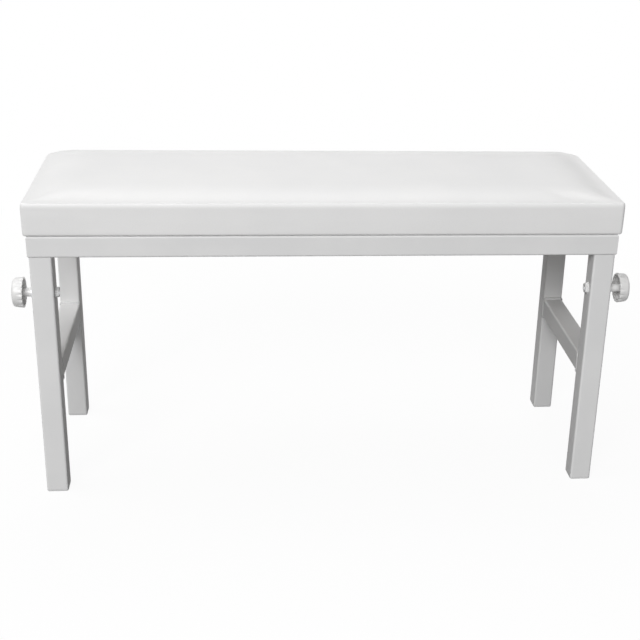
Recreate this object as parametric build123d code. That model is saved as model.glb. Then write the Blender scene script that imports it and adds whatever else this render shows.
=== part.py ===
from build123d import *
import math
import os

# Portable bench: a padded seat on a welded tube frame, carried by two leg frames that slide on
# spigots under the seat and are held there by clamp knobs.
# Millimetres, +Z up, +X along the bench, -Y towards the front.
# The origin is on the floor, under the middle of the seat.

# Square tube of the seat frame and the leg frames
tube = 30.0
tube_wall = 2.0
tube_corner = 3.0
least_inner_corner = 0.5

# Leg frames, measured over the outer faces of the legs
leg_span_x = 800.0
leg_span_y = 270.0
leg_top = 357.0
crossbar_height = 181.0

# Feet: a flange under the leg and a hollow plug inside it
foot_flange = 4.0
foot_chamfer = 1.0
foot_plug = 14.0
foot_plug_wall = 2.5
foot_fit = 0.2

# Seat frame
rail_overhang = 1.5
rail_x = leg_span_x + 2 * rail_overhang
rail_y = leg_span_y + 2 * rail_overhang
rail_top = leg_top + tube

# Spigots under the seat frame's corners, inside the legs
spigot_play = 0.5
spigot_wall = 2.0
spigot_corner = 2.5
spigot_length = 180.0
leg_travel = 100.0
slot_play = 0.5
slot_end_room = 1.0

# Clamp bolt, nut and washer
clamp_drop = 54.5
bolt_diameter = 8.0
bolt_hole_play = 0.5
bolt_tip_past_nut = 0.5
bolt_tip_chamfer = 1.0
bolt_head_flats = 13.0
bolt_head_thickness = 4.0
nut_flats = 13.0
nut_thickness = 5.0
nut_chamfer = 0.8
nut_play = 0.05
washer_diameter = 16.0
washer_thickness = 1.6
washer_play = 0.1

# Clamp knob, measured along its axis from the face that bears on the washer
knob_diameter = 42.0
knob_taper = 1.0
knob_back = 10.0
knob_rim = 14.5
knob_edge_round = 4.5
knob_dome = 0.6
knob_skirt_wall = 3.2
knob_cavity = 7.0
knob_cover = 2.0
hub_diameter = 12.0
flute_count = 16
flute_radius = 3.0
flute_depth = 1.2
flute_tilt = 3.0

# Seat pad, which stands on spacers above the rails
spacer_thickness = 1.5
spacer_diameter = 14.0
pad_overhang_x = 4.5
pad_overhang_y = 4.0
pad_height = 44.5
pad_front_corner = 5.0
pad_rear_corner = 36.0
least_front_corner = 1.5
pad_side_draw = 1.0
pad_bottom_round = 2.0
pad_top_round = 4.0
pad_round_steps = 3
crown_rise = 6.5
crown_reach = 62.0
crown_corner = 14.0
crown_steps = 4
cover_thickness = 1.2
cover_return = 46.0
soft_gap = 0.3

# Base board inside the pad
board_thickness = 15.0
board_edge_room = 1.5

# Staples, with their crowns pressed flush into the cover's return
staple_crown = 10.0
staple_width = 1.2
staple_wire = 0.6
staple_depth = 8.0
staple_from_edge = 8.0
staple_pitch = 60.0

# Screws that hold the board on the long rails, behind the rails' middle, with washers and T-nuts
screw_diameter = 6.0
screw_hole_play = 0.3
screw_end_distance = 150.0
screw_set_back = 5.0
screw_tip_room = 2.0
screw_head_diameter = 10.5
screw_head_height = 3.3
screw_head_round = 1.5
screw_socket_flats = 4.0
screw_socket_depth = 2.0
screw_washer_diameter = 12.0
screw_washer_thickness = 1.2
t_nut_flange_diameter = 19.0
t_nut_flange = 1.5
t_nut_barrel_wall = 1.1
t_nut_barrel = 10.0
t_nut_play = 0.05

# Places worked out from the sizes above
leg_x = (leg_span_x - tube) / 2
leg_y = (leg_span_y - tube) / 2
clamp_height = leg_top - clamp_drop
spigot_size = tube - 2 * tube_wall - 2 * spigot_play
pad_bottom = rail_top + spacer_thickness
board_level = pad_bottom + cover_thickness
board_inset = pad_side_draw + pad_bottom_round + cover_thickness + soft_gap + board_edge_room
pad_x = rail_x + 2 * pad_overhang_x
pad_y = rail_y + 2 * pad_overhang_y
board_x = pad_x - 2 * board_inset
board_y = pad_y - 2 * board_inset
screw_x = rail_x / 2 - screw_end_distance
screw_y = (rail_y - tube) / 2 - screw_set_back
screw_places = [(x, y) for y in (-screw_y, screw_y) for x in (-screw_x, 0.0, screw_x)]
screw_hole_radius = screw_diameter / 2 + screw_hole_play


def square_tube(length, size=tube, wall=tube_wall, corner=tube_corner):
    """A square tube that stands on the origin."""
    inner_size = size - 2 * wall
    inner_corner = max(corner - wall, least_inner_corner)
    section = RectangleRounded(size, size, corner) - RectangleRounded(inner_size, inner_size, inner_corner)
    return extrude(section, length)


def upright(radius, height):
    """A round bar that stands on the origin."""
    return extrude(Circle(radius), height)


def hexagon(flats, height):
    """A hexagon bar that stands on the origin."""
    return extrude(RegularPolygon(flats / 2, 6, major_radius=False), height)


# Seat frame: four mitred rails and a stretcher

def mitred_rail(length, face):
    """A rail along X whose outer face lies at -Y, that far from the middle."""
    bar = Pos(-length / 2, -face + tube / 2, leg_top + tube / 2) * Rot(0, 90, 0) * square_tube(length)
    half = length / 2
    plan = Polygon(
        (-half, -face),
        (half, -face),
        (half - tube, -face + tube),
        (-half + tube, -face + tube),
        align=None,
    )
    return bar & (Pos(0, 0, leg_top) * extrude(plan, tube))


def long_rail():
    """The front rail, with its screw holes."""
    rail = mitred_rail(rail_x, rail_y / 2)
    for x, y in screw_places:
        if y < 0:
            rail -= Pos(x, y, leg_top) * upright(screw_hole_radius, tube)
    return rail


def cross_tube(x, height, length):
    """A tube along Y, centred on the bench's middle line."""
    return Pos(x, -length / 2, height) * Rot(-90, 0, 0) * square_tube(length)


# Spigots and leg frames, for the right end of the bench

def spigot(y, slotted):
    bar = square_tube(spigot_length, spigot_size, spigot_wall, spigot_corner)
    bar = Pos(leg_x, y, leg_top - spigot_length) * bar
    if not slotted:
        return bar
    slot = SlotCenterToCenter(
        leg_travel + 2 * slot_end_room, bolt_diameter + 2 * slot_play, rotation=90
    )
    middle = clamp_height - leg_travel / 2
    return bar - Pos(leg_x, y, middle) * extrude(Plane.YZ * slot, spigot_size, both=True)


def leg(y, drilled):
    bar = Pos(leg_x, y, foot_flange) * square_tube(leg_top - foot_flange)
    if not drilled:
        return bar
    hole = Rot(0, 90, 0) * Cylinder(bolt_diameter / 2 + bolt_hole_play, 2 * tube)
    return bar - Pos(leg_x, y, clamp_height) * hole


def foot(y):
    flange = extrude(RectangleRounded(tube, tube, tube_corner), foot_flange)
    flange = chamfer(flange.edges().group_by(Axis.Z)[0], foot_chamfer)
    plug_size = tube - 2 * tube_wall - 2 * foot_fit
    plug_corner = max(tube_corner - tube_wall, least_inner_corner) + foot_fit
    plug = square_tube(foot_plug, plug_size, foot_plug_wall, plug_corner)
    return Pos(leg_x, y, 0) * (flange + Pos(0, 0, foot_flange) * plug)


# Clamps, along their own axis: the washer's outer face is at the origin and +Z points outwards

def clamp_washer():
    ring = upright(washer_diameter / 2, washer_thickness)
    ring -= upright(bolt_diameter / 2 + washer_play, washer_thickness)
    return Pos(0, 0, -washer_thickness) * ring


def clamp_nut():
    """The nut, with its chamfered side away from the leg that it is welded to."""
    corner_radius = nut_flats / math.sqrt(3)
    blank = upright(corner_radius, nut_thickness)
    blank = chamfer(blank.edges().group_by(Axis.Z)[-1], nut_chamfer)
    nut = blank & hexagon(nut_flats, nut_thickness)
    nut -= upright(bolt_diameter / 2 + nut_play, nut_thickness)
    return Pos(0, 0, -washer_thickness - tube) * Rot(180, 0, 0) * nut


def clamp_bolt():
    head_top = knob_back + knob_rim - knob_cover
    grip = washer_thickness + tube + nut_thickness + bolt_tip_past_nut
    shank = upright(bolt_diameter / 2, grip + head_top)
    shank = chamfer(shank.edges().group_by(Axis.Z)[0], bolt_tip_chamfer)
    head = hexagon(bolt_head_flats, bolt_head_thickness)
    return Pos(0, 0, -grip) * shank + Pos(0, 0, head_top - bolt_head_thickness) * head


def clamp_knob():
    """A hollow knob with a fluted rim, moulded around the bolt's head."""
    hub = hub_diameter / 2
    rim_back = knob_diameter / 2
    rim_front = rim_back - knob_taper
    skirt = rim_back - knob_skirt_wall
    floor = knob_back + knob_cavity
    front = knob_back + knob_rim
    edge = front - knob_edge_round
    face = rim_front - knob_edge_round
    sides = Polyline(
        (0, front + knob_dome),
        (0, 0),
        (hub, 0),
        (hub, floor),
        (skirt, floor),
        (skirt, knob_back),
        (rim_back, knob_back),
        (rim_front, edge),
    )
    rounding = CenterArc((face, edge), knob_edge_round, 0, 90)
    dome_radius = (face**2 + knob_dome**2) / (2 * knob_dome)
    dome_turn = math.degrees(math.asin(face / dome_radius))
    dome = CenterArc((0, front + knob_dome - dome_radius), dome_radius, 90 - dome_turn, dome_turn)
    profile = make_face([sides, rounding, dome])
    knob = revolve(Plane.XZ * profile, Axis.Z)
    cutter = Rot(0, flute_tilt, 0) * Cylinder(flute_radius, 2 * knob_rim)
    cutter = Pos(rim_back + flute_radius - flute_depth, 0, knob_back) * cutter
    knob -= clamp_bolt()
    return knob - [Rot(0, 0, 360 / flute_count * (i + 0.5)) * cutter for i in range(flute_count)]


def on_clamp(piece):
    """Moves a piece from the clamp's own axis to the right front leg."""
    return Pos(leg_span_x / 2 + washer_thickness, -leg_y, clamp_height) * Rot(0, 90, 0) * piece


# Seat pad

def pad_levels():
    """The pad's side from its flat bottom to its crown: how far in, how high and its least front corner."""
    levels = []
    for step in range(pad_round_steps + 1):
        turn = math.pi / 2 * step / pad_round_steps
        inset = pad_side_draw + pad_bottom_round * (1 - math.sin(turn))
        levels.append((inset, pad_bottom_round * (1 - math.cos(turn)), least_front_corner))
    for step in range(pad_round_steps + 1):
        turn = math.pi / 2 * step / pad_round_steps
        inset = pad_top_round * (1 - math.cos(turn))
        levels.append((inset, pad_height - pad_top_round * (1 - math.sin(turn)), least_front_corner))
    for step in range(1, crown_steps + 1):
        way = step / crown_steps
        height = pad_height + crown_rise * (1 - (1 - way) ** 2)
        corner = max(least_front_corner, crown_corner * way)
        levels.append((pad_top_round + crown_reach * way, height, corner))
    return levels


def pad_plan(inset, least_corner=least_front_corner):
    """The pad's outline drawn in by an inset, with tight front corners and round rear ones."""
    plan = Rectangle(pad_x - 2 * inset, pad_y - 2 * inset)
    front = max(pad_front_corner - inset, least_corner)
    rear = max(pad_rear_corner - inset, crown_corner)
    plan = fillet(plan.vertices().group_by(Axis.Y)[0], front)
    return fillet(plan.vertices().group_by(Axis.Y)[-1], rear)


def pad_form(margin):
    """The pad's outer form, drawn in by a margin on every side."""
    full_height = pad_height + crown_rise
    squeeze = (full_height - 2 * margin) / full_height
    sections = []
    for inset, height, least_corner in pad_levels():
        plan = pad_plan(inset + margin, least_corner)
        sections.append(Pos(0, 0, pad_bottom + margin + height * squeeze) * plan)
    return loft(sections, ruled=True)


def board_blank(room=0.0):
    return Pos(0, 0, board_level) * extrude(pad_plan(board_inset - room), board_thickness)


def staples():
    """A row of staples along each side, just inside the return's edge."""
    crown = Box(staple_crown, staple_width, staple_wire, align=(Align.CENTER, Align.CENTER, Align.MIN))
    prong = Box(
        staple_wire,
        staple_width,
        cover_thickness + staple_depth,
        align=(Align.CENTER, Align.CENTER, Align.MIN),
    )
    reach = (staple_crown - staple_wire) / 2
    staple = crown + Pos(-reach, 0, 0) * prong + Pos(reach, 0, 0) * prong
    line_x = board_x / 2 - cover_return + staple_from_edge
    line_y = board_y / 2 - cover_return + staple_from_edge
    placed = []
    for along, across, turn in ((line_x, line_y, 0), (line_y, line_x, 90)):
        count = max(2, round(2 * along / staple_pitch))
        step = 2 * along / count
        for i in range(count):
            for side in (-1, 1):
                spot = Pos(-along + step * (i + 0.5), side * across, pad_bottom)
                placed.append(Rot(0, 0, turn) * spot * staple)
    return placed


def seat_cover():
    window_x = board_x - 2 * cover_return
    window_y = board_y - 2 * cover_return
    window = Pos(0, 0, pad_bottom) * extrude(Rectangle(window_x, window_y), 2 * cover_thickness)
    holes = [Pos(x, y, pad_bottom) * upright(screw_hole_radius, cover_thickness) for x, y in screw_places]
    return pad_form(0.0) - pad_form(cover_thickness) - window - holes - staples()


def foam_pad():
    below = Pos(0, 0, -board_thickness) * board_blank(soft_gap)
    return pad_form(cover_thickness + soft_gap) - board_blank(soft_gap) - below


def t_nut_blank():
    """A T-nut's outside, hanging from the board's top face."""
    flange = upright(t_nut_flange_diameter / 2, t_nut_flange)
    barrel = upright(screw_diameter / 2 + t_nut_barrel_wall, t_nut_barrel)
    return Pos(0, 0, -t_nut_flange) * flange + Pos(0, 0, -t_nut_barrel) * barrel


def t_nut():
    bore = upright(screw_diameter / 2 + t_nut_play, t_nut_barrel)
    return t_nut_blank() - Pos(0, 0, -t_nut_barrel) * bore


def base_board():
    board = board_blank() - staples()
    for x, y in screw_places:
        board -= Pos(x, y, board_level + board_thickness) * t_nut_blank()
        board -= Pos(x, y, board_level) * upright(screw_hole_radius, board_thickness)
    return board


def pad_screw():
    """A button-head screw, with the face of its head that bears on the washer at the origin."""
    grip = screw_washer_thickness + tube + spacer_thickness + cover_thickness
    length = grip + board_thickness - screw_tip_room
    head = Pos(0, 0, -screw_head_height) * upright(screw_head_diameter / 2, screw_head_height)
    head = fillet(head.edges().group_by(Axis.Z)[0], screw_head_round)
    head -= Pos(0, 0, -screw_head_height) * hexagon(screw_socket_flats, screw_socket_depth)
    return head + upright(screw_diameter / 2, length)


def screw_ring(diameter, thickness):
    """A washer or spacer that a pad screw goes through."""
    return upright(diameter / 2, thickness) - upright(screw_hole_radius, thickness)


def at_screws(piece, height):
    """A copy of a piece at every screw, at that height."""
    return Compound([Pos(x, y, height) * piece for x, y in screw_places])


# All the nodes, by name
front_rail = long_rail()
right_end_rail = Rot(0, 0, 90) * mitred_rail(rail_y, rail_x / 2)
nodes = {
    "seat_cover": seat_cover(),
    "foam_pad": foam_pad(),
    "base_board": base_board(),
    "cover_staples": Compound(staples()),
    "t_nuts": at_screws(t_nut(), board_level + board_thickness),
    "pad_screws": at_screws(pad_screw(), leg_top - screw_washer_thickness),
    "pad_screw_washers": at_screws(
        screw_ring(screw_washer_diameter, screw_washer_thickness), leg_top - screw_washer_thickness
    ),
    "pad_spacers": at_screws(screw_ring(spacer_diameter, spacer_thickness), rail_top),
    "front_rail": front_rail,
    "rear_rail": Rot(0, 0, 180) * front_rail,
    "right_end_rail": right_end_rail,
    "left_end_rail": Rot(0, 0, 180) * right_end_rail,
    "centre_stretcher": cross_tube(0, leg_top + tube / 2, rail_y - 2 * tube),
}

# Pieces of the right end, which the left end mirrors
end_pieces = {
    "front_spigot": spigot(-leg_y, True),
    "rear_spigot": spigot(leg_y, False),
    "front_leg": leg(-leg_y, True),
    "rear_leg": leg(leg_y, False),
    "crossbar": cross_tube(leg_x, crossbar_height, leg_span_y - 2 * tube),
    "front_foot": foot(-leg_y),
    "rear_foot": foot(leg_y),
    "clamp_nut": on_clamp(clamp_nut()),
    "clamp_washer": on_clamp(clamp_washer()),
    "clamp_bolt": on_clamp(clamp_bolt()),
    "clamp_knob": on_clamp(clamp_knob()),
}
for name, piece in end_pieces.items():
    nodes["right_" + name] = piece
    nodes["left_" + name] = mirror(piece, about=Plane.YZ)

os.makedirs("parts", exist_ok=True)
for name, piece in nodes.items():
    export_step(piece, f"parts/{name}.step")
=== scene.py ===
import math

import bpy
import numpy as np
from mathutils import Matrix, Vector


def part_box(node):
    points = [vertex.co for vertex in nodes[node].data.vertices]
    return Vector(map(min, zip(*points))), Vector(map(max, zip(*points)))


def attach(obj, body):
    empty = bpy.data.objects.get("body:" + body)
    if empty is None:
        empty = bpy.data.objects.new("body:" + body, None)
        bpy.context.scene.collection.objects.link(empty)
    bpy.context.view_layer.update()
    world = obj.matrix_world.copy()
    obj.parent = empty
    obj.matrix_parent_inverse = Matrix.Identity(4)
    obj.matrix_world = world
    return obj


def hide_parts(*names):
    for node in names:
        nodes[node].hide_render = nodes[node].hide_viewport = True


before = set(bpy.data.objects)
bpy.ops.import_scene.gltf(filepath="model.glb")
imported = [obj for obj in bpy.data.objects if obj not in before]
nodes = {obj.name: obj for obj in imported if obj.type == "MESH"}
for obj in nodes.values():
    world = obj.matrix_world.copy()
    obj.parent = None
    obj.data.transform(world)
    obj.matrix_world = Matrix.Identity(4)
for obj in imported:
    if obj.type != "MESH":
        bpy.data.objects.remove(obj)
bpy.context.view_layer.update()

# Looks of a portable bench: a white padded seat on a painted tube frame with two sliding leg
# frames. Metres, +Z up, +X along the bench, -Y towards the front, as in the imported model.

MM = 0.001
sides = {"left": -1, "right": 1}

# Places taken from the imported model
pad_low, pad_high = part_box("seat_cover")
_, board_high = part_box("base_board")
rail_low, rail_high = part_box("front_rail")
end_rail_low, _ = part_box("right_end_rail")
stretcher_low, stretcher_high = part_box("centre_stretcher")
tube = rail_high.z - rail_low.z
tube_corner = 3 * MM


# Shader maths: a socket that takes part in Python expressions, and a material that adds its nodes

class Value:
    """An output of a shader node that can be used like a number."""

    def __init__(self, finish, socket):
        self.finish = finish
        self.socket = socket

    def maths(self, operation, first, second):
        return self.finish.add("Math", {"operation": operation}, {0: first, 1: second})

    def __add__(self, other):
        return self.maths("ADD", self, other)

    def __radd__(self, other):
        return self.maths("ADD", other, self)

    def __sub__(self, other):
        return self.maths("SUBTRACT", self, other)

    def __rsub__(self, other):
        return self.maths("SUBTRACT", other, self)

    def __mul__(self, other):
        return self.maths("MULTIPLY", self, other)

    def __rmul__(self, other):
        return self.maths("MULTIPLY", other, self)

    def __truediv__(self, other):
        return self.maths("DIVIDE", self, other)

    def larger(self, other):
        return self.maths("MAXIMUM", self, other)

    def output(self, name):
        """Another output of the same node."""
        return Value(self.finish, self.socket.node.outputs[name])

    def ease(self, low, high):
        """0 below low, 1 above high and smooth between."""
        return self.finish.add("MapRange", {"interpolation_type": "SMOOTHSTEP"}, {
            "Value": self, "From Min": low, "From Max": high,
        })


class Finish:
    """A material, or the world, under construction."""

    # Places of the colour sockets on a Mix node
    mix_factor, mix_first, mix_second, mix_result = 0, 6, 7, 2
    # How square to an axis the surface is where a rounded edge is full and where it ends
    edge_full, edge_end = 0.88, 0.985

    def __init__(self, name, library=bpy.data.materials):
        self.material = library.new(name)
        self.material.use_nodes = True
        self.tree = self.material.node_tree
        self.tree.nodes.clear()

    def add(self, kind, settings=None, sockets=None):
        """Adds a node: its settings are set first, then the values or links of its sockets."""
        node = self.tree.nodes.new("ShaderNode" + kind)
        for key, setting in (settings or {}).items():
            setattr(node, key, setting)
        for key, value in (sockets or {}).items():
            socket = node.inputs[key]
            if isinstance(value, Value):
                self.tree.links.new(value.socket, socket)
            else:
                socket.default_value = value
        return Value(self, node.outputs[0]) if node.outputs else None

    def place(self, stretch=(1, 1, 1)):
        """The point on the piece, stretched along its axes."""
        point = self.add("TexCoord").output("Object")
        if stretch == (1, 1, 1):
            return point
        return self.add("Mapping", None, {"Vector": point, "Scale": stretch})

    def noise(self, point, scale, detail=2.0, roughness=0.5):
        return self.add("TexNoise", None, {
            "Vector": point, "Scale": scale, "Detail": detail, "Roughness": roughness,
        })

    def mix(self, factor, first, second):
        """A colour between two colours."""
        def colour(value):
            return value if isinstance(value, Value) else (*value, 1)

        blend = self.add("Mix", {"data_type": "RGBA"}, {
            self.mix_factor: factor, self.mix_first: colour(first), self.mix_second: colour(second),
        })
        return blend.output(self.mix_result)

    def edges(self):
        """1 on rounded edges and 0 on faces that are square to the axes."""
        normal = self.add("TexCoord").output("Normal")
        facing = self.add("VectorMath", {"operation": "ABSOLUTE"}, {0: normal})
        parts = self.add("SeparateXYZ", None, {"Vector": facing})
        squareness = parts.output("X").larger(parts.output("Y")).larger(parts.output("Z"))
        return 1 - squareness.ease(self.edge_full, self.edge_end)

    def seen(self):
        """1 for what the camera, a reflection or a clear piece sees, and 0 for other light."""
        path = self.add("LightPath")
        rays = ("Is Camera Ray", "Is Glossy Ray", "Is Transmission Ray")
        camera, glossy, transmission = (path.output(ray) for ray in rays)
        return camera.larger(glossy).larger(transmission)

    def bump(self, height, strength, distance, below=None):
        sockets = {"Height": height, "Strength": strength, "Distance": distance}
        if below is not None:
            sockets["Normal"] = below
        return self.add("Bump", None, sockets)

    def surface(self, sockets):
        """Closes the material with a principled surface."""
        shader = self.add("BsdfPrincipled", None, sockets)
        self.add("OutputMaterial", None, {"Surface": shader})
        return self.material


def grey(level, warmth=0.0):
    """A neutral tone, a little warmer or cooler."""
    return (level * (1 + warmth), level, level * (1 - warmth))


# Finishes

vinyl_specular = 0.45
coat_specular = 0.15
zinc_metal = 0.95
knob_gloss, knob_gloss_roughness = 0.15, 0.2
scuff_low, scuff_high = 0.2 * MM, 1.6 * MM
veneer_thickness = 1.5 * MM


def vinyl_finish():
    """White upholstery vinyl: a fine pebbled grain under a satin skin."""
    f = Finish("white_vinyl")
    handled, fresh = grey(0.825, warmth=0.002), grey(0.855, warmth=0.004)
    # Tone of the painted shade in the pebble grain's hollows
    hollow = grey(0.70, warmth=0.01)
    point = f.place()
    pebble = f.add("TexVoronoi", {"feature": "SMOOTH_F1"}, {
        "Vector": point, "Scale": 780.0, "Smoothness": 0.5,
    })
    pores = f.noise(point, scale=2400.0)
    handling = f.noise(point, scale=7.0, detail=3.0)
    pull = f.noise(f.place((1, 3, 3)), scale=26.0)
    colour = f.mix(handling.ease(0.3, 0.7), handled, fresh)
    # Painted shade: the pebble grain's hollows are darker
    colour = f.mix(pebble.ease(0.45, 0.85) * 0.10, colour, hollow)
    fold = f.bump(pull, strength=0.25, distance=0.6 * MM)
    grain = f.bump(1 - pebble + 0.25 * pores, strength=0.22, distance=0.12 * MM, below=fold)
    return f.surface({
        "Base Color": colour,
        "Roughness": 0.36 + 0.10 * handling + 0.06 * pebble,
        "Normal": grain,
        "Specular IOR Level": vinyl_specular,
    })


def paint_coat(f, point):
    """Colour, roughness and normal of a baked white powder coat."""
    # The last of these tones is a painted highlight for the rounded edges
    dull, fresh, edge_highlight = grey(0.785), grey(0.815, warmth=0.002), grey(0.87)
    drift = f.noise(point, scale=11.0, detail=3.0)
    peel = f.noise(point, scale=520.0, detail=1.5)
    specks = f.noise(point, scale=1900.0, detail=1.0)
    colour = f.mix(drift.ease(0.35, 0.7), dull, fresh)
    edge = f.edges()
    # Painted highlight: the rounded edges are lighter
    colour = f.mix(edge * 0.4, colour, edge_highlight)
    roughness = 0.46 + 0.12 * drift + 0.05 * specks - 0.08 * edge
    normal = f.bump(peel + 0.3 * specks, strength=0.16, distance=0.09 * MM)
    return colour, roughness, normal


def paint_finish():
    """White powder coat on the steel tubes, with a few faint rubs."""
    f = Finish("white_powder_coat")
    rubbed = grey(0.62)
    point = f.place()
    colour, roughness, normal = paint_coat(f, point)
    streaks = f.noise(f.place((1, 1, 0.12)), scale=120.0, detail=4.0, roughness=0.65)
    rubs = streaks.ease(0.68, 0.80)
    colour = f.mix(rubs * 0.22, colour, rubbed)
    return f.surface({
        "Base Color": colour,
        "Roughness": roughness + 0.12 * rubs,
        "Normal": normal,
        "Specular IOR Level": coat_specular,
    })


def worn_paint_finish():
    """The same coat on the spigots, scored along their length where the legs slide on them."""
    f = Finish("white_coat_scored")
    steel = grey(0.42)
    point = f.place()
    colour, roughness, normal = paint_coat(f, point)
    streaks = f.noise(f.place((1, 1, 0.02)), scale=900.0, detail=3.0, roughness=0.6)
    score = streaks.ease(0.60, 0.70)
    patches = f.noise(point, scale=38.0, detail=3.0).ease(0.42, 0.62)
    bare = score * patches
    return f.surface({
        "Base Color": f.mix(bare, colour, steel),
        "Roughness": roughness,
        "Metallic": bare * 0.9,
        "Normal": f.bump(1 - bare, strength=0.35, distance=0.06 * MM, below=normal),
        "Specular IOR Level": coat_specular,
    })


def weld_finish():
    """Weld metal under the same white coat, with painted shade between its ripples."""
    f = Finish("white_coat_on_weld")
    hollow, crest_highlight = grey(0.66), grey(0.83)
    point = f.place()
    drift = f.noise(point, scale=300.0, detail=3.0)
    height = f.add("NewGeometry").output("Pointiness")
    # Painted shade in the hollows between the ripples, painted highlight on their crests
    colour = f.mix(height.ease(0.40, 0.56), hollow, crest_highlight)
    return f.surface({
        "Base Color": colour,
        "Roughness": 0.46 + 0.14 * drift,
        "Normal": f.bump(drift, strength=0.3, distance=0.15 * MM),
        "Specular IOR Level": coat_specular,
    })


def zinc_finish():
    """Bright zinc plating on the small steel hardware."""
    f = Finish("zinc_plate")
    dull, bright = (0.58, 0.59, 0.61), (0.70, 0.71, 0.72)
    point = f.place()
    spangle = f.noise(point, scale=260.0, detail=3.0)
    scratch = f.noise(f.place((1, 1, 0.05)), scale=1500.0)
    colour = f.mix(spangle.ease(0.3, 0.7), dull, bright)
    return f.surface({
        "Base Color": colour,
        "Metallic": zinc_metal,
        "Roughness": 0.26 + 0.16 * spangle + 0.06 * scratch,
        "Normal": f.bump(scratch, strength=0.12, distance=0.04 * MM),
    })


def knob_finish():
    """Moulded white plastic with a soft gloss."""
    f = Finish("white_knob_plastic")
    dull, fresh = grey(0.75, warmth=0.004), grey(0.78, warmth=0.006)
    # Tone of the painted shade in the knob's flutes and hollows
    groove_shade = grey(0.60, warmth=0.01)
    point = f.place()
    flow = f.noise(point, scale=60.0)
    spark = f.noise(point, scale=1500.0, detail=1.0)
    height = f.add("NewGeometry").output("Pointiness")
    colour = f.mix(flow.ease(0.3, 0.7), dull, fresh)
    # Painted shade: darker where the surface is hollow, in the flutes and the cavity
    colour = f.mix((1 - height.ease(0.40, 0.50)) * 0.25, colour, groove_shade)
    return f.surface({
        "Base Color": colour,
        "Roughness": 0.28 + 0.08 * flow,
        "Coat Weight": knob_gloss,
        "Coat Roughness": knob_gloss_roughness,
        "Normal": f.bump(spark, strength=0.10, distance=0.04 * MM),
    })


def foot_finish():
    """Matte white plastic of the feet, scuffed where they stand."""
    f = Finish("white_foot_plastic")
    dull, fresh, dirt = grey(0.70), grey(0.74), grey(0.30, warmth=0.03)
    point = f.place()
    mould = f.noise(point, scale=900.0)
    height = f.add("SeparateXYZ", None, {"Vector": point}).output("Z")
    marks = f.noise(point, scale=240.0, detail=4.0, roughness=0.7).ease(0.45, 0.75)
    scuff = marks * (1 - height.ease(scuff_low, scuff_high))
    colour = f.mix(mould.ease(0.3, 0.7), dull, fresh)
    return f.surface({
        "Base Color": f.mix(scuff * 0.7, colour, dirt),
        "Roughness": 0.52 + 0.15 * mould,
        "Normal": f.bump(mould, strength=0.15, distance=0.06 * MM),
    })


def plywood_finish():
    """Rotary-cut birch ply: long open grain on the faces and thin veneers at the edge."""
    f = Finish("birch_plywood")
    late, early = (0.62, 0.47, 0.30), (0.76, 0.62, 0.43)
    pore, glue = (0.40, 0.27, 0.15), (0.42, 0.29, 0.17)
    point = f.place()
    axes = f.add("SeparateXYZ", None, {"Vector": point})
    drift = f.noise(f.place((0.5, 3.0, 1.0)), scale=6.0, detail=3.0)
    rings = f.add("TexWave", {"bands_direction": "Y"}, {
        "Vector": f.place((0.25, 1.0, 1.0)),
        "Scale": 18.0, "Distortion": 5.0, "Detail": 3.0, "Detail Scale": 1.4,
    })
    fibre = f.noise(f.place((0.03, 1.0, 1.0)), scale=700.0, detail=3.0)
    colour = f.mix(rings * 0.55 + 0.25 * drift, late, early)
    colour = f.mix(fibre.ease(0.52, 0.75) * 0.45, colour, pore)
    layer = f.add("Math", {"operation": "PINGPONG"}, {0: axes.output("Z"), 1: veneer_thickness})
    veneer = layer / veneer_thickness
    colour = f.mix(veneer.ease(0.35, 0.65) * 0.12, colour, glue)
    return f.surface({
        "Base Color": colour,
        "Roughness": 0.62 + 0.15 * fibre,
        "Normal": f.bump(fibre + 0.4 * rings, strength=0.3, distance=0.15 * MM),
    })


def foam_finish():
    """Open-cell foam."""
    f = Finish("seat_foam")
    # The darker tone is the painted shade of the pores
    cell, wall = (0.72, 0.66, 0.48), (0.86, 0.82, 0.66)
    point = f.place()
    cells = f.add("TexVoronoi", None, {"Vector": point, "Scale": 900.0})
    return f.surface({
        # Painted shade in the pores: each cell is darker towards its middle
        "Base Color": f.mix(cells, cell, wall),
        "Roughness": 0.9,
        "Normal": f.bump(cells, strength=0.6, distance=0.4 * MM),
    })


vinyl = vinyl_finish()
paint = paint_finish()
worn_paint = worn_paint_finish()
weld_coat = weld_finish()
zinc = zinc_finish()
knob_plastic = knob_finish()
foot_plastic = foot_finish()
plywood = plywood_finish()
foam = foam_finish()


# Meshes

def make_piece(name, points, faces, finish, body):
    """A smooth mesh piece that rides on a body."""
    mesh = bpy.data.meshes.new(name)
    mesh.from_pydata([tuple(p) for p in points], [], faces)
    mesh.materials.append(finish)
    mesh.shade_smooth()
    mesh.update()
    piece = bpy.data.objects.new(name, mesh)
    bpy.context.scene.collection.objects.link(piece)
    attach(piece, body)
    return piece


def skin(rings, looped=False):
    """Points and faces over rings of equal counts. looped joins the last ring to the first."""
    count = len(rings[0])
    points = [p for ring in rings for p in ring]
    faces = []
    spans = len(rings) if looped else len(rings) - 1
    for i in range(spans):
        here = i * count
        there = (i + 1) % len(rings) * count
        for j in range(count):
            k = (j + 1) % count
            faces.append((here + j, here + k, there + k, there + j))
    return points, faces


def arc(centre_x, centre_y, radius, start, end, steps):
    """Points along an arc, in degrees."""
    turns = [math.radians(start + (end - start) * i / steps) for i in range(steps + 1)]
    return [(centre_x + radius * math.cos(t), centre_y + radius * math.sin(t)) for t in turns]


def coordinates(mesh):
    flat = np.zeros(len(mesh.vertices) * 3)
    mesh.vertices.foreach_get("co", flat)
    return flat.reshape(-1, 3)


# Seat pad: a closed skin from the edge of its return, round the side and over the crown

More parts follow.
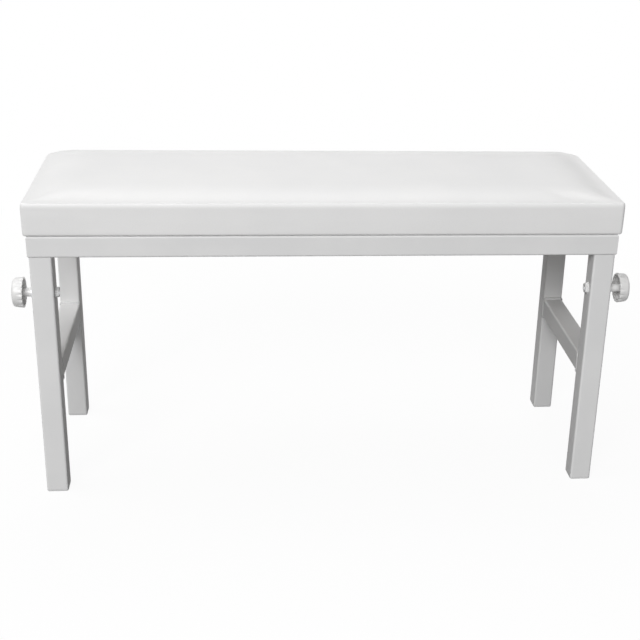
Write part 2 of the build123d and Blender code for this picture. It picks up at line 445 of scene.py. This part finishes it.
pad_edge_height = 44.5 * MM
pad_front_corner = 5 * MM
pad_rear_corner = 36 * MM
pad_least_corner = 1.5 * MM
pad_crown_corner = 14 * MM
pad_side_draw = 0.5 * MM
pad_bottom_round = 4 * MM
pad_rim_sag = 0.9 * MM
pad_edge_draw = 2.2 * MM
pad_edge_drop = 7 * MM
pad_edge_turn = 84
pad_crown = 8 * MM
pad_crown_reach = 64 * MM
pad_swell = 0.2 * MM
cover_thickness = 0.35 * MM
return_width = 46 * MM
return_lift = 8 * MM
pleat_share = 0.015
pleat_top = 14 * MM
pleats_per_corner = 5

# Counts of points round the pad, and places of its rings as shares of the return, side and crown
along_x, along_y, around = 72, 24, 24
bottom_round_steps, edge_steps = 6, 8
return_rings = (0.15, 0.4, 0.7, 0.85, 0.95)
side_rings = (0.12, 0.3, 0.5, 0.7, 0.88)
crown_rings = (0.02, 0.08, 0.2, 0.36, 0.56, 0.78, 1.0)

# The cloth simulation's length, how freely the side's top moves, and guards against division by 0
swell_frames = 20
side_freedom = 0.9
least_limit, least_length = 1e-6, 1e-9


def pad_profile():
    """How far in from the outline and how high above the bottom each ring lies, return to crown."""
    return_edge = pad_high.x - (board_high.x - return_width)
    flat_edge = pad_side_draw + pad_bottom_round
    side_low = pad_bottom_round - pad_rim_sag
    side_high = pad_edge_height - pad_edge_drop
    levels = [
        (return_edge, return_lift),
        (return_edge, cover_thickness),
        (return_edge - cover_thickness, 0.0),
    ]
    for t in return_rings:
        sag = -pad_rim_sag * max(0.0, 2 * t - 1)
        levels.append((return_edge + (flat_edge - return_edge) * t, sag))
    levels += arc(flat_edge, side_low, pad_bottom_round, 270, 180, bottom_round_steps)
    for t in side_rings:
        levels.append((pad_side_draw * (1 - t), side_low + (side_high - side_low) * t))
    for x, y in arc(0, 0, 1, 0, pad_edge_turn, edge_steps):
        levels.append((pad_edge_draw * (1 - x), side_high + pad_edge_drop * y))
    for t in crown_rings:
        levels.append((pad_edge_draw + pad_crown_reach * t, pad_edge_height))
    return levels


def pad_ring(inset, height):
    """The outline at an inset: tight corners in front and round ones behind, pleated low down."""
    on_top = height > pad_bottom_round
    crown_way = max(0.0, (inset - pad_edge_draw) / pad_crown_reach) if on_top else 0.0
    least = max(pad_least_corner, pad_crown_corner * crown_way)
    front = max(pad_front_corner - inset, least)
    rear = max(pad_rear_corner - inset, pad_crown_corner)
    fade = max(0.0, 1 - height / pleat_top)
    x, y = pad_high.x - pad_swell - inset, pad_high.y - pad_swell - inset
    corners = [
        ((x - front, front - y), front, -90, along_y),
        ((x - rear, y - rear), rear, 0, along_x),
        ((rear - x, y - rear), rear, 90, along_y),
        ((front - x, front - y), front, 180, along_x),
    ]
    ring = []
    for k, (centre, radius, start, count) in enumerate(corners):
        for i in range(around):
            t = i / around
            turn = math.radians(start + 90 * t)
            wave = math.sin(math.pi * t) * math.cos(2 * math.pi * pleats_per_corner * t)
            reach = radius * (1 + pleat_share * fade * wave)
            ring.append((centre[0] + reach * math.cos(turn), centre[1] + reach * math.sin(turn)))
        next_centre, next_radius, _, _ = corners[(k + 1) % len(corners)]
        turn = math.radians(start + 90)
        out_x, out_y = math.cos(turn), math.sin(turn)
        first = (centre[0] + radius * out_x, centre[1] + radius * out_y)
        last = (next_centre[0] + next_radius * out_x, next_centre[1] + next_radius * out_y)
        for i in range(count):
            t = i / count
            ring.append((first[0] + (last[0] - first[0]) * t, first[1] + (last[1] - first[1]) * t))
    return [Vector((x, y, pad_low.z + height)) for x, y in ring]


def patch(ring, first, first_free):
    """Points and faces of a grid that fills a ring. Its corners are the middles of the ring's."""
    wide, deep = along_x + around, along_y + around
    total = len(ring)
    start = around // 2 - wide

    def on_ring(i, j):
        if j == 0:
            return (start + i) % total
        if i == wide:
            return (start + wide + j) % total
        if j == deep:
            return (start + wide + deep + wide - i) % total
        if i == 0:
            return (start + 2 * wide + deep + deep - j) % total
        return None

    def edge(i, j):
        return ring[on_ring(i, j)]

    points, index, faces = [], {}, []
    for j in range(deep + 1):
        for i in range(wide + 1):
            known = on_ring(i, j)
            if known is not None:
                index[i, j] = first + known
                continue
            u, v = i / wide, j / deep
            across = edge(0, j) * (1 - u) + edge(wide, j) * u
            up = edge(i, 0) * (1 - v) + edge(i, deep) * v
            corners = (edge(0, 0) * (1 - u) + edge(wide, 0) * u) * (1 - v)
            corners += (edge(0, deep) * (1 - u) + edge(wide, deep) * u) * v
            index[i, j] = first_free + len(points)
            points.append(across + up - corners)
    for j in range(deep):
        for i in range(wide):
            faces.append((index[i, j], index[i + 1, j], index[i + 1, j + 1], index[i, j + 1]))
    return points, faces


def pad_mesh():
    """The pad's rings, closed by a patch inside the return and one over the crown."""
    rings = [pad_ring(inset, height) for inset, height in pad_profile()]
    points, faces = skin(rings)
    last = len(points) - len(rings[-1])
    for ring, first, flip in ((rings[0], 0, True), (rings[-1], last, False)):
        middle, cover = patch(ring, first, len(points))
        points += middle
        faces += [face[::-1] for face in cover] if flip else cover
    return points, faces


def crown_share(points):
    """0 at the pad's top edge and 1 where the crown is full, over the top face."""
    inside = np.array(pad_high[:2]) - pad_swell - np.abs(points[:, :2]) - pad_edge_draw
    rise = np.sin(np.clip(inside / pad_crown_reach, 0, 1) * math.pi / 2)
    top = points[:, 2] > pad_low.z + pad_edge_height / 2
    return np.where(top, rise[:, 0] * rise[:, 1], 0)


def swell(piece):
    """Blows the cover up with a cloth simulation, held at its underside, and limits its move."""
    start = coordinates(piece.data)
    height = start[:, 2] - pad_low.z
    side_share = np.clip(height / (pad_edge_height - pad_edge_drop), 0, 1)
    hold = piece.vertex_groups.new(name="held")
    for i, s in enumerate(side_share):
        hold.add([i], float(1 - side_freedom * s * s) if s < 1 else 0.0, "REPLACE")
    cloth = piece.modifiers.new("cloth", "CLOTH")
    settings = cloth.settings
    settings.quality = 6
    settings.mass = 0.25
    settings.tension_stiffness = 22
    settings.compression_stiffness = 22
    settings.shear_stiffness = 8
    settings.bending_stiffness = 1.2
    settings.use_pressure = True
    settings.uniform_pressure_force = 4
    settings.vertex_group_mass = hold.name
    settings.pin_stiffness = 1
    settings.effector_weights.gravity = 0
    cloth.collision_settings.use_collision = False
    cloth.point_cache.frame_end = swell_frames
    scene = bpy.context.scene
    for number in range(1, swell_frames + 1):
        scene.frame_set(number)
    shaped = piece.evaluated_get(bpy.context.evaluated_depsgraph_get())
    move = coordinates(shaped.data) - start
    piece.modifiers.remove(cloth)
    piece.vertex_groups.remove(hold)
    scene.frame_set(1)
    limit = pad_swell * side_share + least_limit + (pad_crown - pad_swell) * crown_share(start)
    length = np.maximum(np.linalg.norm(move, axis=1), least_length)
    move *= (limit * np.tanh(length / limit) / length)[:, None]
    piece.data.vertices.foreach_set("co", (start + move).ravel())
    piece.data.update()


def seat_pad():
    points, faces = pad_mesh()
    piece = make_piece("seat_pad", points, faces, vinyl, "seat")
    swell(piece)
    smooth = piece.modifiers.new("smooth", "SUBSURF")
    smooth.levels = 1
    smooth.render_levels = 1
    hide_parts("seat_cover", "foam_pad")


# Clamp knobs and bolts, along their own axis: the knob's bearing face at the origin, +Z outwards

knob_radius = 21 * MM
knob_taper = 1 * MM
knob_back = 10 * MM
knob_rim = 14.5 * MM
knob_edge_round = 4.5 * MM
knob_dome = 0.6 * MM
knob_skirt_wall = 3.2 * MM
knob_cavity = 7 * MM
knob_cavity_fillet = 1.2 * MM
knob_lip_round = 0.7 * MM
knob_soft_edge = 0.5 * MM
knob_rim_steps = 13
knob_dome_steps = 9
hub_radius = 6 * MM
hub_rings = (0.3, 0.6, 1.0)
hub_bore = 4.05 * MM
hub_bore_depth = 3 * MM
hub_bore_chamfer = 0.4 * MM
flute_count = 16
flute_radius = 3 * MM
flute_depth = 1.2 * MM
flute_tilt = math.radians(3)
flute_soft = 0.5 * MM
knob_turn_steps = 16 * flute_count
bolt_radius = 4 * MM
bolt_pitch = 1.25 * MM
bolt_thread_depth = 0.68 * MM
bolt_tip_chamfer = 1 * MM
bolt_end_gap = 0.3 * MM
bolt_turn_steps = 40
bolt_pitch_steps = 8


def knob_profile():
    """Radius and height along the knob's surface, from its bore round the hub, hollow and rim."""
    skirt = knob_radius - knob_skirt_wall
    floor = knob_back + knob_cavity
    front = knob_back + knob_rim
    edge = front - knob_edge_round
    face = knob_radius - knob_taper - knob_edge_round
    lip = knob_radius - knob_lip_round
    fillet, soft = knob_cavity_fillet, knob_soft_edge
    line = [
        (0.0, hub_bore_depth),
        (hub_bore, hub_bore_depth),
        (hub_bore, hub_bore_chamfer),
        (hub_bore + hub_bore_chamfer, 0.0),
    ]
    line += arc(hub_radius - soft, soft, soft, -90, 0, 4)
    line += [(hub_radius, knob_back * t) for t in hub_rings]
    line += arc(hub_radius + fillet, floor - fillet, fillet, 180, 90, 5)
    line += arc(skirt - fillet, floor - fillet, fillet, 90, 0, 5)
    line += arc(skirt + soft, knob_back + soft, soft, 180, 270, 4)
    line += arc(lip, knob_back + knob_lip_round, knob_lip_round, -90, 0, 5)
    for i in range(1, knob_rim_steps):
        t = i / knob_rim_steps
        height = knob_back + knob_lip_round + (edge - knob_back - knob_lip_round) * t
        line.append((knob_radius - knob_taper * t, height))
    line += arc(face, edge, knob_edge_round, 0, 90, 10)
    dome_radius = (face**2 + knob_dome**2) / (2 * knob_dome)
    for i in range(1, knob_dome_steps):
        radius = face * (1 - i / knob_dome_steps)
        drop = dome_radius - math.sqrt(dome_radius**2 - radius**2)
        line.append((radius, front + knob_dome - drop))
    line.append((0.0, front + knob_dome))
    return line


def fluted(radius, height, turn):
    """The rim's radius, where the flutes cut into it and fade out towards the front."""
    if radius < knob_radius - knob_skirt_wall / 2:
        return radius
    pitch = 2 * math.pi / flute_count
    offset = (turn / pitch) % 1 - 0.5
    rise = height - knob_back
    middle = knob_radius + flute_radius - flute_depth + math.tan(flute_tilt) * rise
    across = middle * math.sin(offset * pitch)
    if abs(across) >= flute_radius:
        return radius
    cut = middle * math.cos(offset * pitch) - math.sqrt(flute_radius**2 - across**2)
    overlap = max(flute_soft - abs(radius - cut), 0) / flute_soft
    return min(radius, cut) - overlap**2 * flute_soft / 4


def threaded(radius, height, turn):
    """The shank's radius with its thread, which runs out in the tip's chamfer."""
    wave = abs(((height / bolt_pitch - turn / (2 * math.pi)) % 1) * 2 - 1)
    return min(radius, bolt_radius - bolt_thread_depth * wave)


def clamp_axis(side_name, side):
    """The turn and place from a clamp's own axis to its leg."""
    low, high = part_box(side_name + "_clamp_washer")
    seat = high.x if side > 0 else low.x
    middle = (low + high) / 2
    turn = Matrix.Rotation(side * math.pi / 2, 4, "Y")
    return Matrix.Translation((seat, middle.y, middle.z)) @ turn


def lathe(line, shape, place, steps):
    """A closed skin turned about the Z axis from a line that starts and ends on it."""
    rings = []
    for radius, height in line[1:-1]:
        ring = []
        for j in range(steps):
            turn = 2 * math.pi * j / steps
            r = shape(radius, height, turn)
            ring.append(place @ Vector((r * math.cos(turn), r * math.sin(turn), height)))
        rings.append(ring)
    points, faces = skin(rings)
    for (_, height), ring, flip in ((line[0], 0, True), (line[-1], len(rings) - 1, False)):
        tip = len(points)
        points.append(place @ Vector((0, 0, height)))
        for j in range(steps):
            pair = (ring * steps + j, ring * steps + (j + 1) % steps)
            faces.append((tip, pair[1], pair[0]) if flip else (pair[0], pair[1], tip))
    return points, faces


def clamp_knob(side_name, side):
    name = side_name + "_knob"
    points, faces = lathe(knob_profile(), fluted, clamp_axis(side_name, side), knob_turn_steps)
    piece = make_piece(name, points, faces, knob_plastic, name)
    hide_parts(side_name + "_clamp_knob")


def clamp_bolt(side_name, side):
    low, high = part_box(side_name + "_clamp_bolt")
    low_seat, high_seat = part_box(side_name + "_clamp_washer")
    tip = low.x - high_seat.x if side > 0 else low_seat.x - high.x
    end = hub_bore_depth - bolt_end_gap
    tip_radius = bolt_radius - bolt_tip_chamfer
    line = [(0.0, tip), (tip_radius, tip)]
    steps = round((end - tip) / (bolt_pitch / bolt_pitch_steps))
    for i in range(1, steps + 1):
        height = tip + (end - tip) * i / steps
        line.append((min(bolt_radius, tip_radius + height - tip), height))
    line.append((0.0, end))
    points, faces = lathe(line, threaded, clamp_axis(side_name, side), bolt_turn_steps)
    piece = make_piece(side_name + "_bolt", points, faces, zinc, side_name + "_knob")
    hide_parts(side_name + "_clamp_bolt")


# Weld beads: rippled runs of weld metal under the paint. A bead's phase says where its ripples
# start, so that no two look alike.

bead_pitch = 2.3 * MM
bead_segments = 12
bead_base, bead_ripple, bead_drift = 0.86, 0.16, 0.06
bead_drifts = ((7.1 * MM, 2.3), (3.7 * MM, 5.1))
bead_tip_share = 0.02
bead_run_out = 1.6

# At a tube's end: runs flush with the face that it meets, and what a fillet against it adds
tube_weld_steps = 6
tube_turn_steps = 5
flush_radius, fillet_radius = 2.1 * MM, 2.3 * MM
flush_lift, fillet_adds_lift = -0.9 * MM, 1.9 * MM
flush_shift, fillet_adds_shift = -0.7 * MM, 1.5 * MM

# Beside a clamp nut, in degrees round it
nut_weld_arcs = {"lower": (-132, -48), "upper": (62, 118)}
nut_weld_radius = 1.9 * MM
nut_weld_gap = 0.1 * MM
nut_weld_lift = 0.3 * MM
nut_weld_steps = 36

# In the seat frame's inner corners
corner_weld_radius = 2.3 * MM
corner_weld_margin = 1.5 * MM
corner_weld_lift = 0.7 * MM
corner_weld_steps = 72


def bead_radius(place, radius, phase):
    """A bead's radius along its run, with a ripple for every pool of metal."""
    ripple = abs(math.sin(math.pi * place / bead_pitch + phase))
    drift = sum(math.sin(place / length + turn * phase) for length, turn in bead_drifts)
    return radius * (bead_base + bead_ripple * ripple + bead_drift * drift)


def bead_ring(centre, out, along, radius):
    """One ring of a bead, in the plane of two directions."""
    ring = []
    for j in range(bead_segments):
        turn = 2 * math.pi * j / bead_segments
        ring.append(centre + radius * (math.cos(turn) * out + math.sin(turn) * along))
    return ring


def tube_outline(size, corner, spacing):
    """Points round a square tube, each with its outward direction and its distance on the way."""
    half = size / 2 - corner
    found, travel = [], 0.0
    corners = [(half, -half, -90), (half, half, 0), (-half, half, 90), (-half, -half, 180)]
    straight = max(2, round(2 * half / spacing))
    for x, y, start in corners:
        for i in range(tube_turn_steps):
            turn = math.radians(start + 90 * i / tube_turn_steps)
            out = (math.cos(turn), math.sin(turn))
            found.append(((x + corner * out[0], y + corner * out[1]), out, travel))
            travel += corner * math.pi / 2 / tube_turn_steps
        turn = math.radians(start + 90)
        out = (math.cos(turn), math.sin(turn))
        way = (-out[1], out[0])
        for i in range(straight):
            step = 2 * half * i / straight
            point = (x + corner * out[0] + way[0] * step, y + corner * out[1] + way[1] * step)
            found.append((point, out, travel))
            travel += 2 * half / straight
    return found


def tube_end_weld(name, centre, first, second, axis, body, phase):
    """A weld round the end of a square tube. Its sides across first stand against a face and get
    a fillet, and its sides across second lie flush with that face and get a flat run. axis points
    away from the face."""
    rings = []
    outline = tube_outline(tube, tube_corner, bead_pitch / tube_weld_steps)
    for (a, b), (out_a, out_b), travel in outline:
        open_side = out_a * out_a
        out = out_a * first + out_b * second
        radius = flush_radius + (fillet_radius - flush_radius) * open_side
        lift = flush_lift + fillet_adds_lift * open_side
        shift = flush_shift + fillet_adds_shift * open_side
        spot = centre + a * first + b * second + lift * out + shift * axis
        rings.append(bead_ring(spot, out, axis, bead_radius(travel, radius, phase)))
    points, faces = skin(rings, looped=True)
    make_piece(name, points, faces, weld_coat, body)


def run_weld(name, path, outs, alongs, radius, body, phase):
    """A weld along an open path, drawn out at both ends."""
    rings, travel = [], 0.0
    total = sum((b - a).length for a, b in zip(path, path[1:]))
    for i, spot in enumerate(path):
        if i:
            travel += (spot - path[i - 1]).length
        near_end = min(travel, total - travel)
        taper = math.sqrt(max(bead_tip_share, min(1.0, near_end / (bead_run_out * radius))))
        thickness = bead_radius(travel, radius, phase) * taper
        rings.append(bead_ring(spot, outs[i], alongs[i], thickness))
    points, faces = skin(rings)
    count = len(rings[0])
    faces.append(tuple(range(count - 1, -1, -1)))
    faces.append(tuple(len(points) - count + j for j in range(count)))
    make_piece(name, points, faces, weld_coat, body)


def leg_frame_welds(side_name, side):
    """Welds round both ends of a crossbar and beside the clamp nut."""
    body = side_name + "_leg_frame"
    low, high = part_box(side_name + "_crossbar")
    middle = (low + high) / 2
    for row, end, inward in (("front", low.y, 1), ("rear", high.y, -1)):
        centre = Vector((middle.x, end, middle.z))
        across = Vector((1, 0, 0)) * inward
        tube_end_weld(
            f"{side_name}_{row}_crossbar_weld", centre, Vector((0, 0, 1)), across,
            Vector((0, inward, 0)), body, side + 0.7 * inward,
        )
    nut_low, nut_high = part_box(side_name + "_clamp_nut")
    nut_middle = (nut_low + nut_high) / 2
    face = nut_high.x if side > 0 else nut_low.x
    nut_seat = Vector((face, nut_middle.y, nut_middle.z))
    away = Vector((-side, 0, 0))
    reach = (nut_high.y - nut_low.y) / 2 + nut_weld_gap
    for label, (start, end) in nut_weld_arcs.items():
        outs = []
        for i in range(nut_weld_steps + 1):
            turn = math.radians(start + (end - start) * i / nut_weld_steps)
            outs.append(Vector((0, math.cos(turn), math.sin(turn))))
        path = [nut_seat + reach * out + nut_weld_lift * away for out in outs]
        run_weld(
            f"{side_name}_nut_{label}_weld", path, outs, [away] * len(path),
            nut_weld_radius, body, side + start,
        )


def seat_frame_welds():
    """Upright welds in the seat frame's inner corners, and welds round the stretcher's ends."""
    inner_x = end_rail_low.x
    inner_y = -rail_high.y
    foot_z = rail_low.z + corner_weld_margin
    rise = tube - 2 * corner_weld_margin
    for side_name, side in sides.items():
        for row, end in (("front", -1), ("rear", 1)):
            out = Vector((-side, -end, 0)).normalized()
            along = Vector((0, 0, 1)).cross(out)
            foot = Vector((side * inner_x, end * inner_y, foot_z)) + corner_weld_lift * out
            path = []
            for i in range(corner_weld_steps + 1):
                path.append(foot + Vector((0, 0, rise * i / corner_weld_steps)))
            run_weld(
                f"{side_name}_{row}_corner_weld", path, [out] * len(path), [along] * len(path),
                corner_weld_radius, "seat", side + 2.1 * end,
            )
    middle = (stretcher_low + stretcher_high) / 2
    for row, end, inward in (("front", stretcher_low.y, 1), ("rear", stretcher_high.y, -1)):
        centre = Vector((middle.x, end, middle.z))
        tube_end_weld(
            f"stretcher_{row}_weld", centre, Vector((1, 0, 0)), Vector((0, 0, -inward)),
            Vector((0, inward, 0)), "seat", 0.4 + inward,
        )


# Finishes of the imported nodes, first those that are there once and then those at both ends

node_finishes = {
    "seat_cover": vinyl,
    "foam_pad": foam,
    "base_board": plywood,
    "cover_staples": zinc,
    "t_nuts": zinc,
    "pad_screws": zinc,
    "pad_screw_washers": zinc,
    "pad_spacers": foot_plastic,
    "front_rail": paint,
    "rear_rail": paint,
    "centre_stretcher": paint,
}
end_finishes = {
    "end_rail": paint,
    "front_spigot": worn_paint,
    "rear_spigot": worn_paint,
    "front_leg": paint,
    "rear_leg": paint,
    "crossbar": paint,
    "front_foot": foot_plastic,
    "rear_foot": foot_plastic,
    "clamp_nut": paint,
    "clamp_washer": zinc,
    "clamp_bolt": zinc,
    "clamp_knob": knob_plastic,
}


def dress_nodes():
    finishes = dict(node_finishes)
    for side_name in sides:
        for name, finish in end_finishes.items():
            finishes[f"{side_name}_{name}"] = finish
    for name, finish in finishes.items():
        for slot in nodes[name].material_slots:
            slot.material = finish


# Stage: a pale floor, soft lamps and the camera

floor_reach = 12.0
floor_tone, bounce_tone = 0.95, 0.16
shadow_share = 0.06
shadow_reach = (0.45, 1.4)
world_fill = 0.02
lamp_distance = 6.0
lamp_aim = Vector((0, 0, 0.25))
image_width = 640
focal_pixels = 1204.1
camera_turns = (6.159, 22.528, 1.776)
camera_place = Vector((-121.2, -1676.0, 905.7)) * MM
camera_shift = -0.0625
camera_sensor = 36
camera_range = 60


def floor_finish():
    """White to the camera, with the object's soft shadow, and a plain grey to the light."""
    f = Finish("pale_floor")
    distance = f.add("VectorMath", {"operation": "LENGTH"}, {0: f.place()}).output("Value")
    bounce = f.add("BsdfDiffuse", None, {"Color": (*grey(bounce_tone), 1)})
    pale = f.add("BsdfDiffuse", None, {"Color": (*grey(floor_tone), 1)})
    white = f.add("Emission", None, {"Color": (*grey(1.0), 1), "Strength": 1.0})
    whiteness = 1 - shadow_share + shadow_share * distance.ease(*shadow_reach)
    shown = f.add("MixShader", None, {0: whiteness, 1: pale, 2: white})
    surface = f.add("MixShader", None, {0: f.seen(), 1: bounce, 2: shown})
    f.add("OutputMaterial", None, {"Surface": surface})
    return f.material


def make_floor():
    near, far = -floor_reach, floor_reach
    corners = [(near, near, 0), (far, near, 0), (far, far, 0), (near, far, 0)]
    mesh = bpy.data.meshes.new("floor")
    mesh.from_pydata(corners, [], [(0, 1, 2, 3)])
    mesh.materials.append(floor_finish())
    floor = bpy.data.objects.new("floor", mesh)
    bpy.context.scene.collection.objects.link(floor)


def make_world():
    """White where it is seen, and a faint light from all round."""
    f = Finish("studio", bpy.data.worlds)
    dim = f.add("Background", None, {"Color": (*grey(1.0), 1), "Strength": world_fill})
    white = f.add("Background", None, {"Color": (*grey(1.0), 1), "Strength": 1.0})
    surface = f.add("MixShader", None, {0: f.seen(), 1: dim, 2: white})
    f.add("OutputWorld", None, {"Surface": surface})
    bpy.context.scene.world = f.material


def soft_lamp(name, azimuth, elevation, size, power):
    """A square soft lamp that looks at the bench. Azimuth 0 is the front, and it grows to the
    right."""
    a, e = math.radians(azimuth), math.radians(elevation)
    back = Vector((math.sin(a) * math.cos(e), -math.cos(a) * math.cos(e), math.sin(e)))
    data = bpy.data.lights.new(name, "AREA")
    data.size = size
    data.energy = power
    lamp = bpy.data.objects.new(name, data)
    lamp.location = lamp_aim + lamp_distance * back
    lamp.rotation_euler = back.to_track_quat("Z", "Y").to_euler()
    bpy.context.scene.collection.objects.link(lamp)
    return lamp


def make_camera():
    """The photograph's camera: its place, turn and lens come from a fit to the legs, the rail and
    the pad."""
    yaw, pitch, roll = (math.radians(turn) for turn in camera_turns)
    look_ahead = Matrix(((1, 0, 0), (0, 0, -1), (0, 1, 0)))
    tilt = Matrix.Rotation(roll, 3, "Z") @ Matrix.Rotation(pitch, 3, "X")
    right, down, ahead = tilt @ look_ahead @ Matrix.Rotation(yaw, 3, "Z")
    axes = Matrix((right, -down, -ahead)).transposed().to_4x4()
    data = bpy.data.cameras.new("camera")
    data.sensor_width = camera_sensor
    data.lens = focal_pixels / image_width * data.sensor_width
    data.shift_x = camera_shift
    data.clip_end = camera_range
    camera = bpy.data.objects.new("camera", data)
    camera.matrix_world = Matrix.Translation(camera_place) @ axes
    bpy.context.scene.collection.objects.link(camera)
    bpy.context.scene.camera = camera


dress_nodes()
seat_pad()
for side_name, side in sides.items():
    clamp_knob(side_name, side)
    clamp_bolt(side_name, side)
    leg_frame_welds(side_name, side)
seat_frame_welds()

make_floor()
make_world()
soft_lamp("front_lamp", azimuth=0, elevation=15, size=2.4, power=107)
soft_lamp("key_lamp", azimuth=-25, elevation=34, size=2.4, power=182)
soft_lamp("left_top_lamp", azimuth=-90, elevation=60, size=3.0, power=116)
soft_lamp("rear_top_lamp", azimuth=180, elevation=65, size=3.0, power=100)
rear_lamp = soft_lamp("rear_lamp", azimuth=180, elevation=4, size=2.4, power=70)
rear_lamp.visible_glossy = False
make_camera()
bpy.context.scene.view_settings.view_transform = "Standard"
